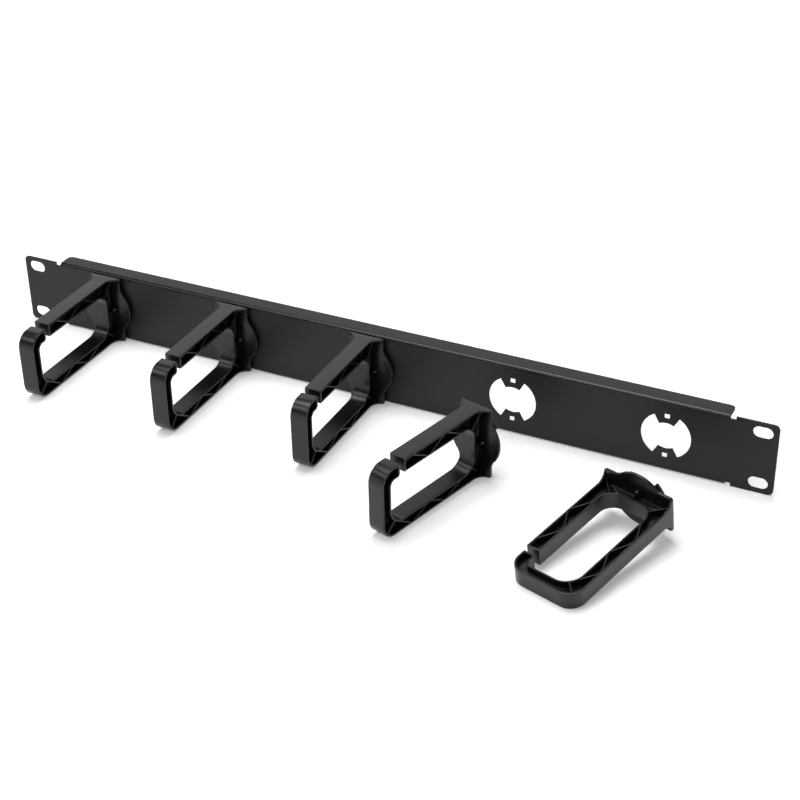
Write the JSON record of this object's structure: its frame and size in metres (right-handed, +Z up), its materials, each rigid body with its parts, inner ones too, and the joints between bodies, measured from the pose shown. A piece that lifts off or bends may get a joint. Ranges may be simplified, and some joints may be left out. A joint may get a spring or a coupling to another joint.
{
  "type": "horizontal cable manager",
  "caption": "Folded steel 19-inch rack panel, one unit high, with moulded cable rings that twist into bayonet cut-outs; some rings are fitted and the others lie in front.",
  "frame": {"origin": "centre of the four rack slots, on the panel's rear face that meets the rack rails", "axes": "+X along the panel to the right seen from the front, +Y back into the rack, +Z up"},
  "size_m": [0.4826, 0.1487, 0.044],
  "materials": {
    "black_powder_coat": "satin powder coat on sheet steel",
    "black_plastic": "satin moulded"
  },
  "bodies": {
    "panel": {"panel": "black_powder_coat", "ring_standing": "black_plastic", "ring_lying": "black_plastic"},
    "ring_left": {"ring_left": "black_plastic"},
    "ring_mid_left": {"ring_mid_left": "black_plastic"},
    "ring_centre": {"ring_centre": "black_plastic"}
  },
  "joints": [
    {"name": "ring_left_turn", "type": "hinge", "parent": "panel", "child": "ring_left", "pos_m": [-0.18, -0.0012, 0], "axis": [0, 1, 0], "range_deg": [-90, 90]},
    {"name": "ring_mid_left_turn", "type": "hinge", "parent": "panel", "child": "ring_mid_left", "pos_m": [-0.09, -0.0012, 0], "axis": [0, 1, 0], "range_deg": [-90, 90]},
    {"name": "ring_centre_turn", "type": "hinge", "parent": "panel", "child": "ring_centre", "pos_m": [0, -0.0012, 0], "axis": [0, 1, 0], "range_deg": [-90, 90]}
  ]
}
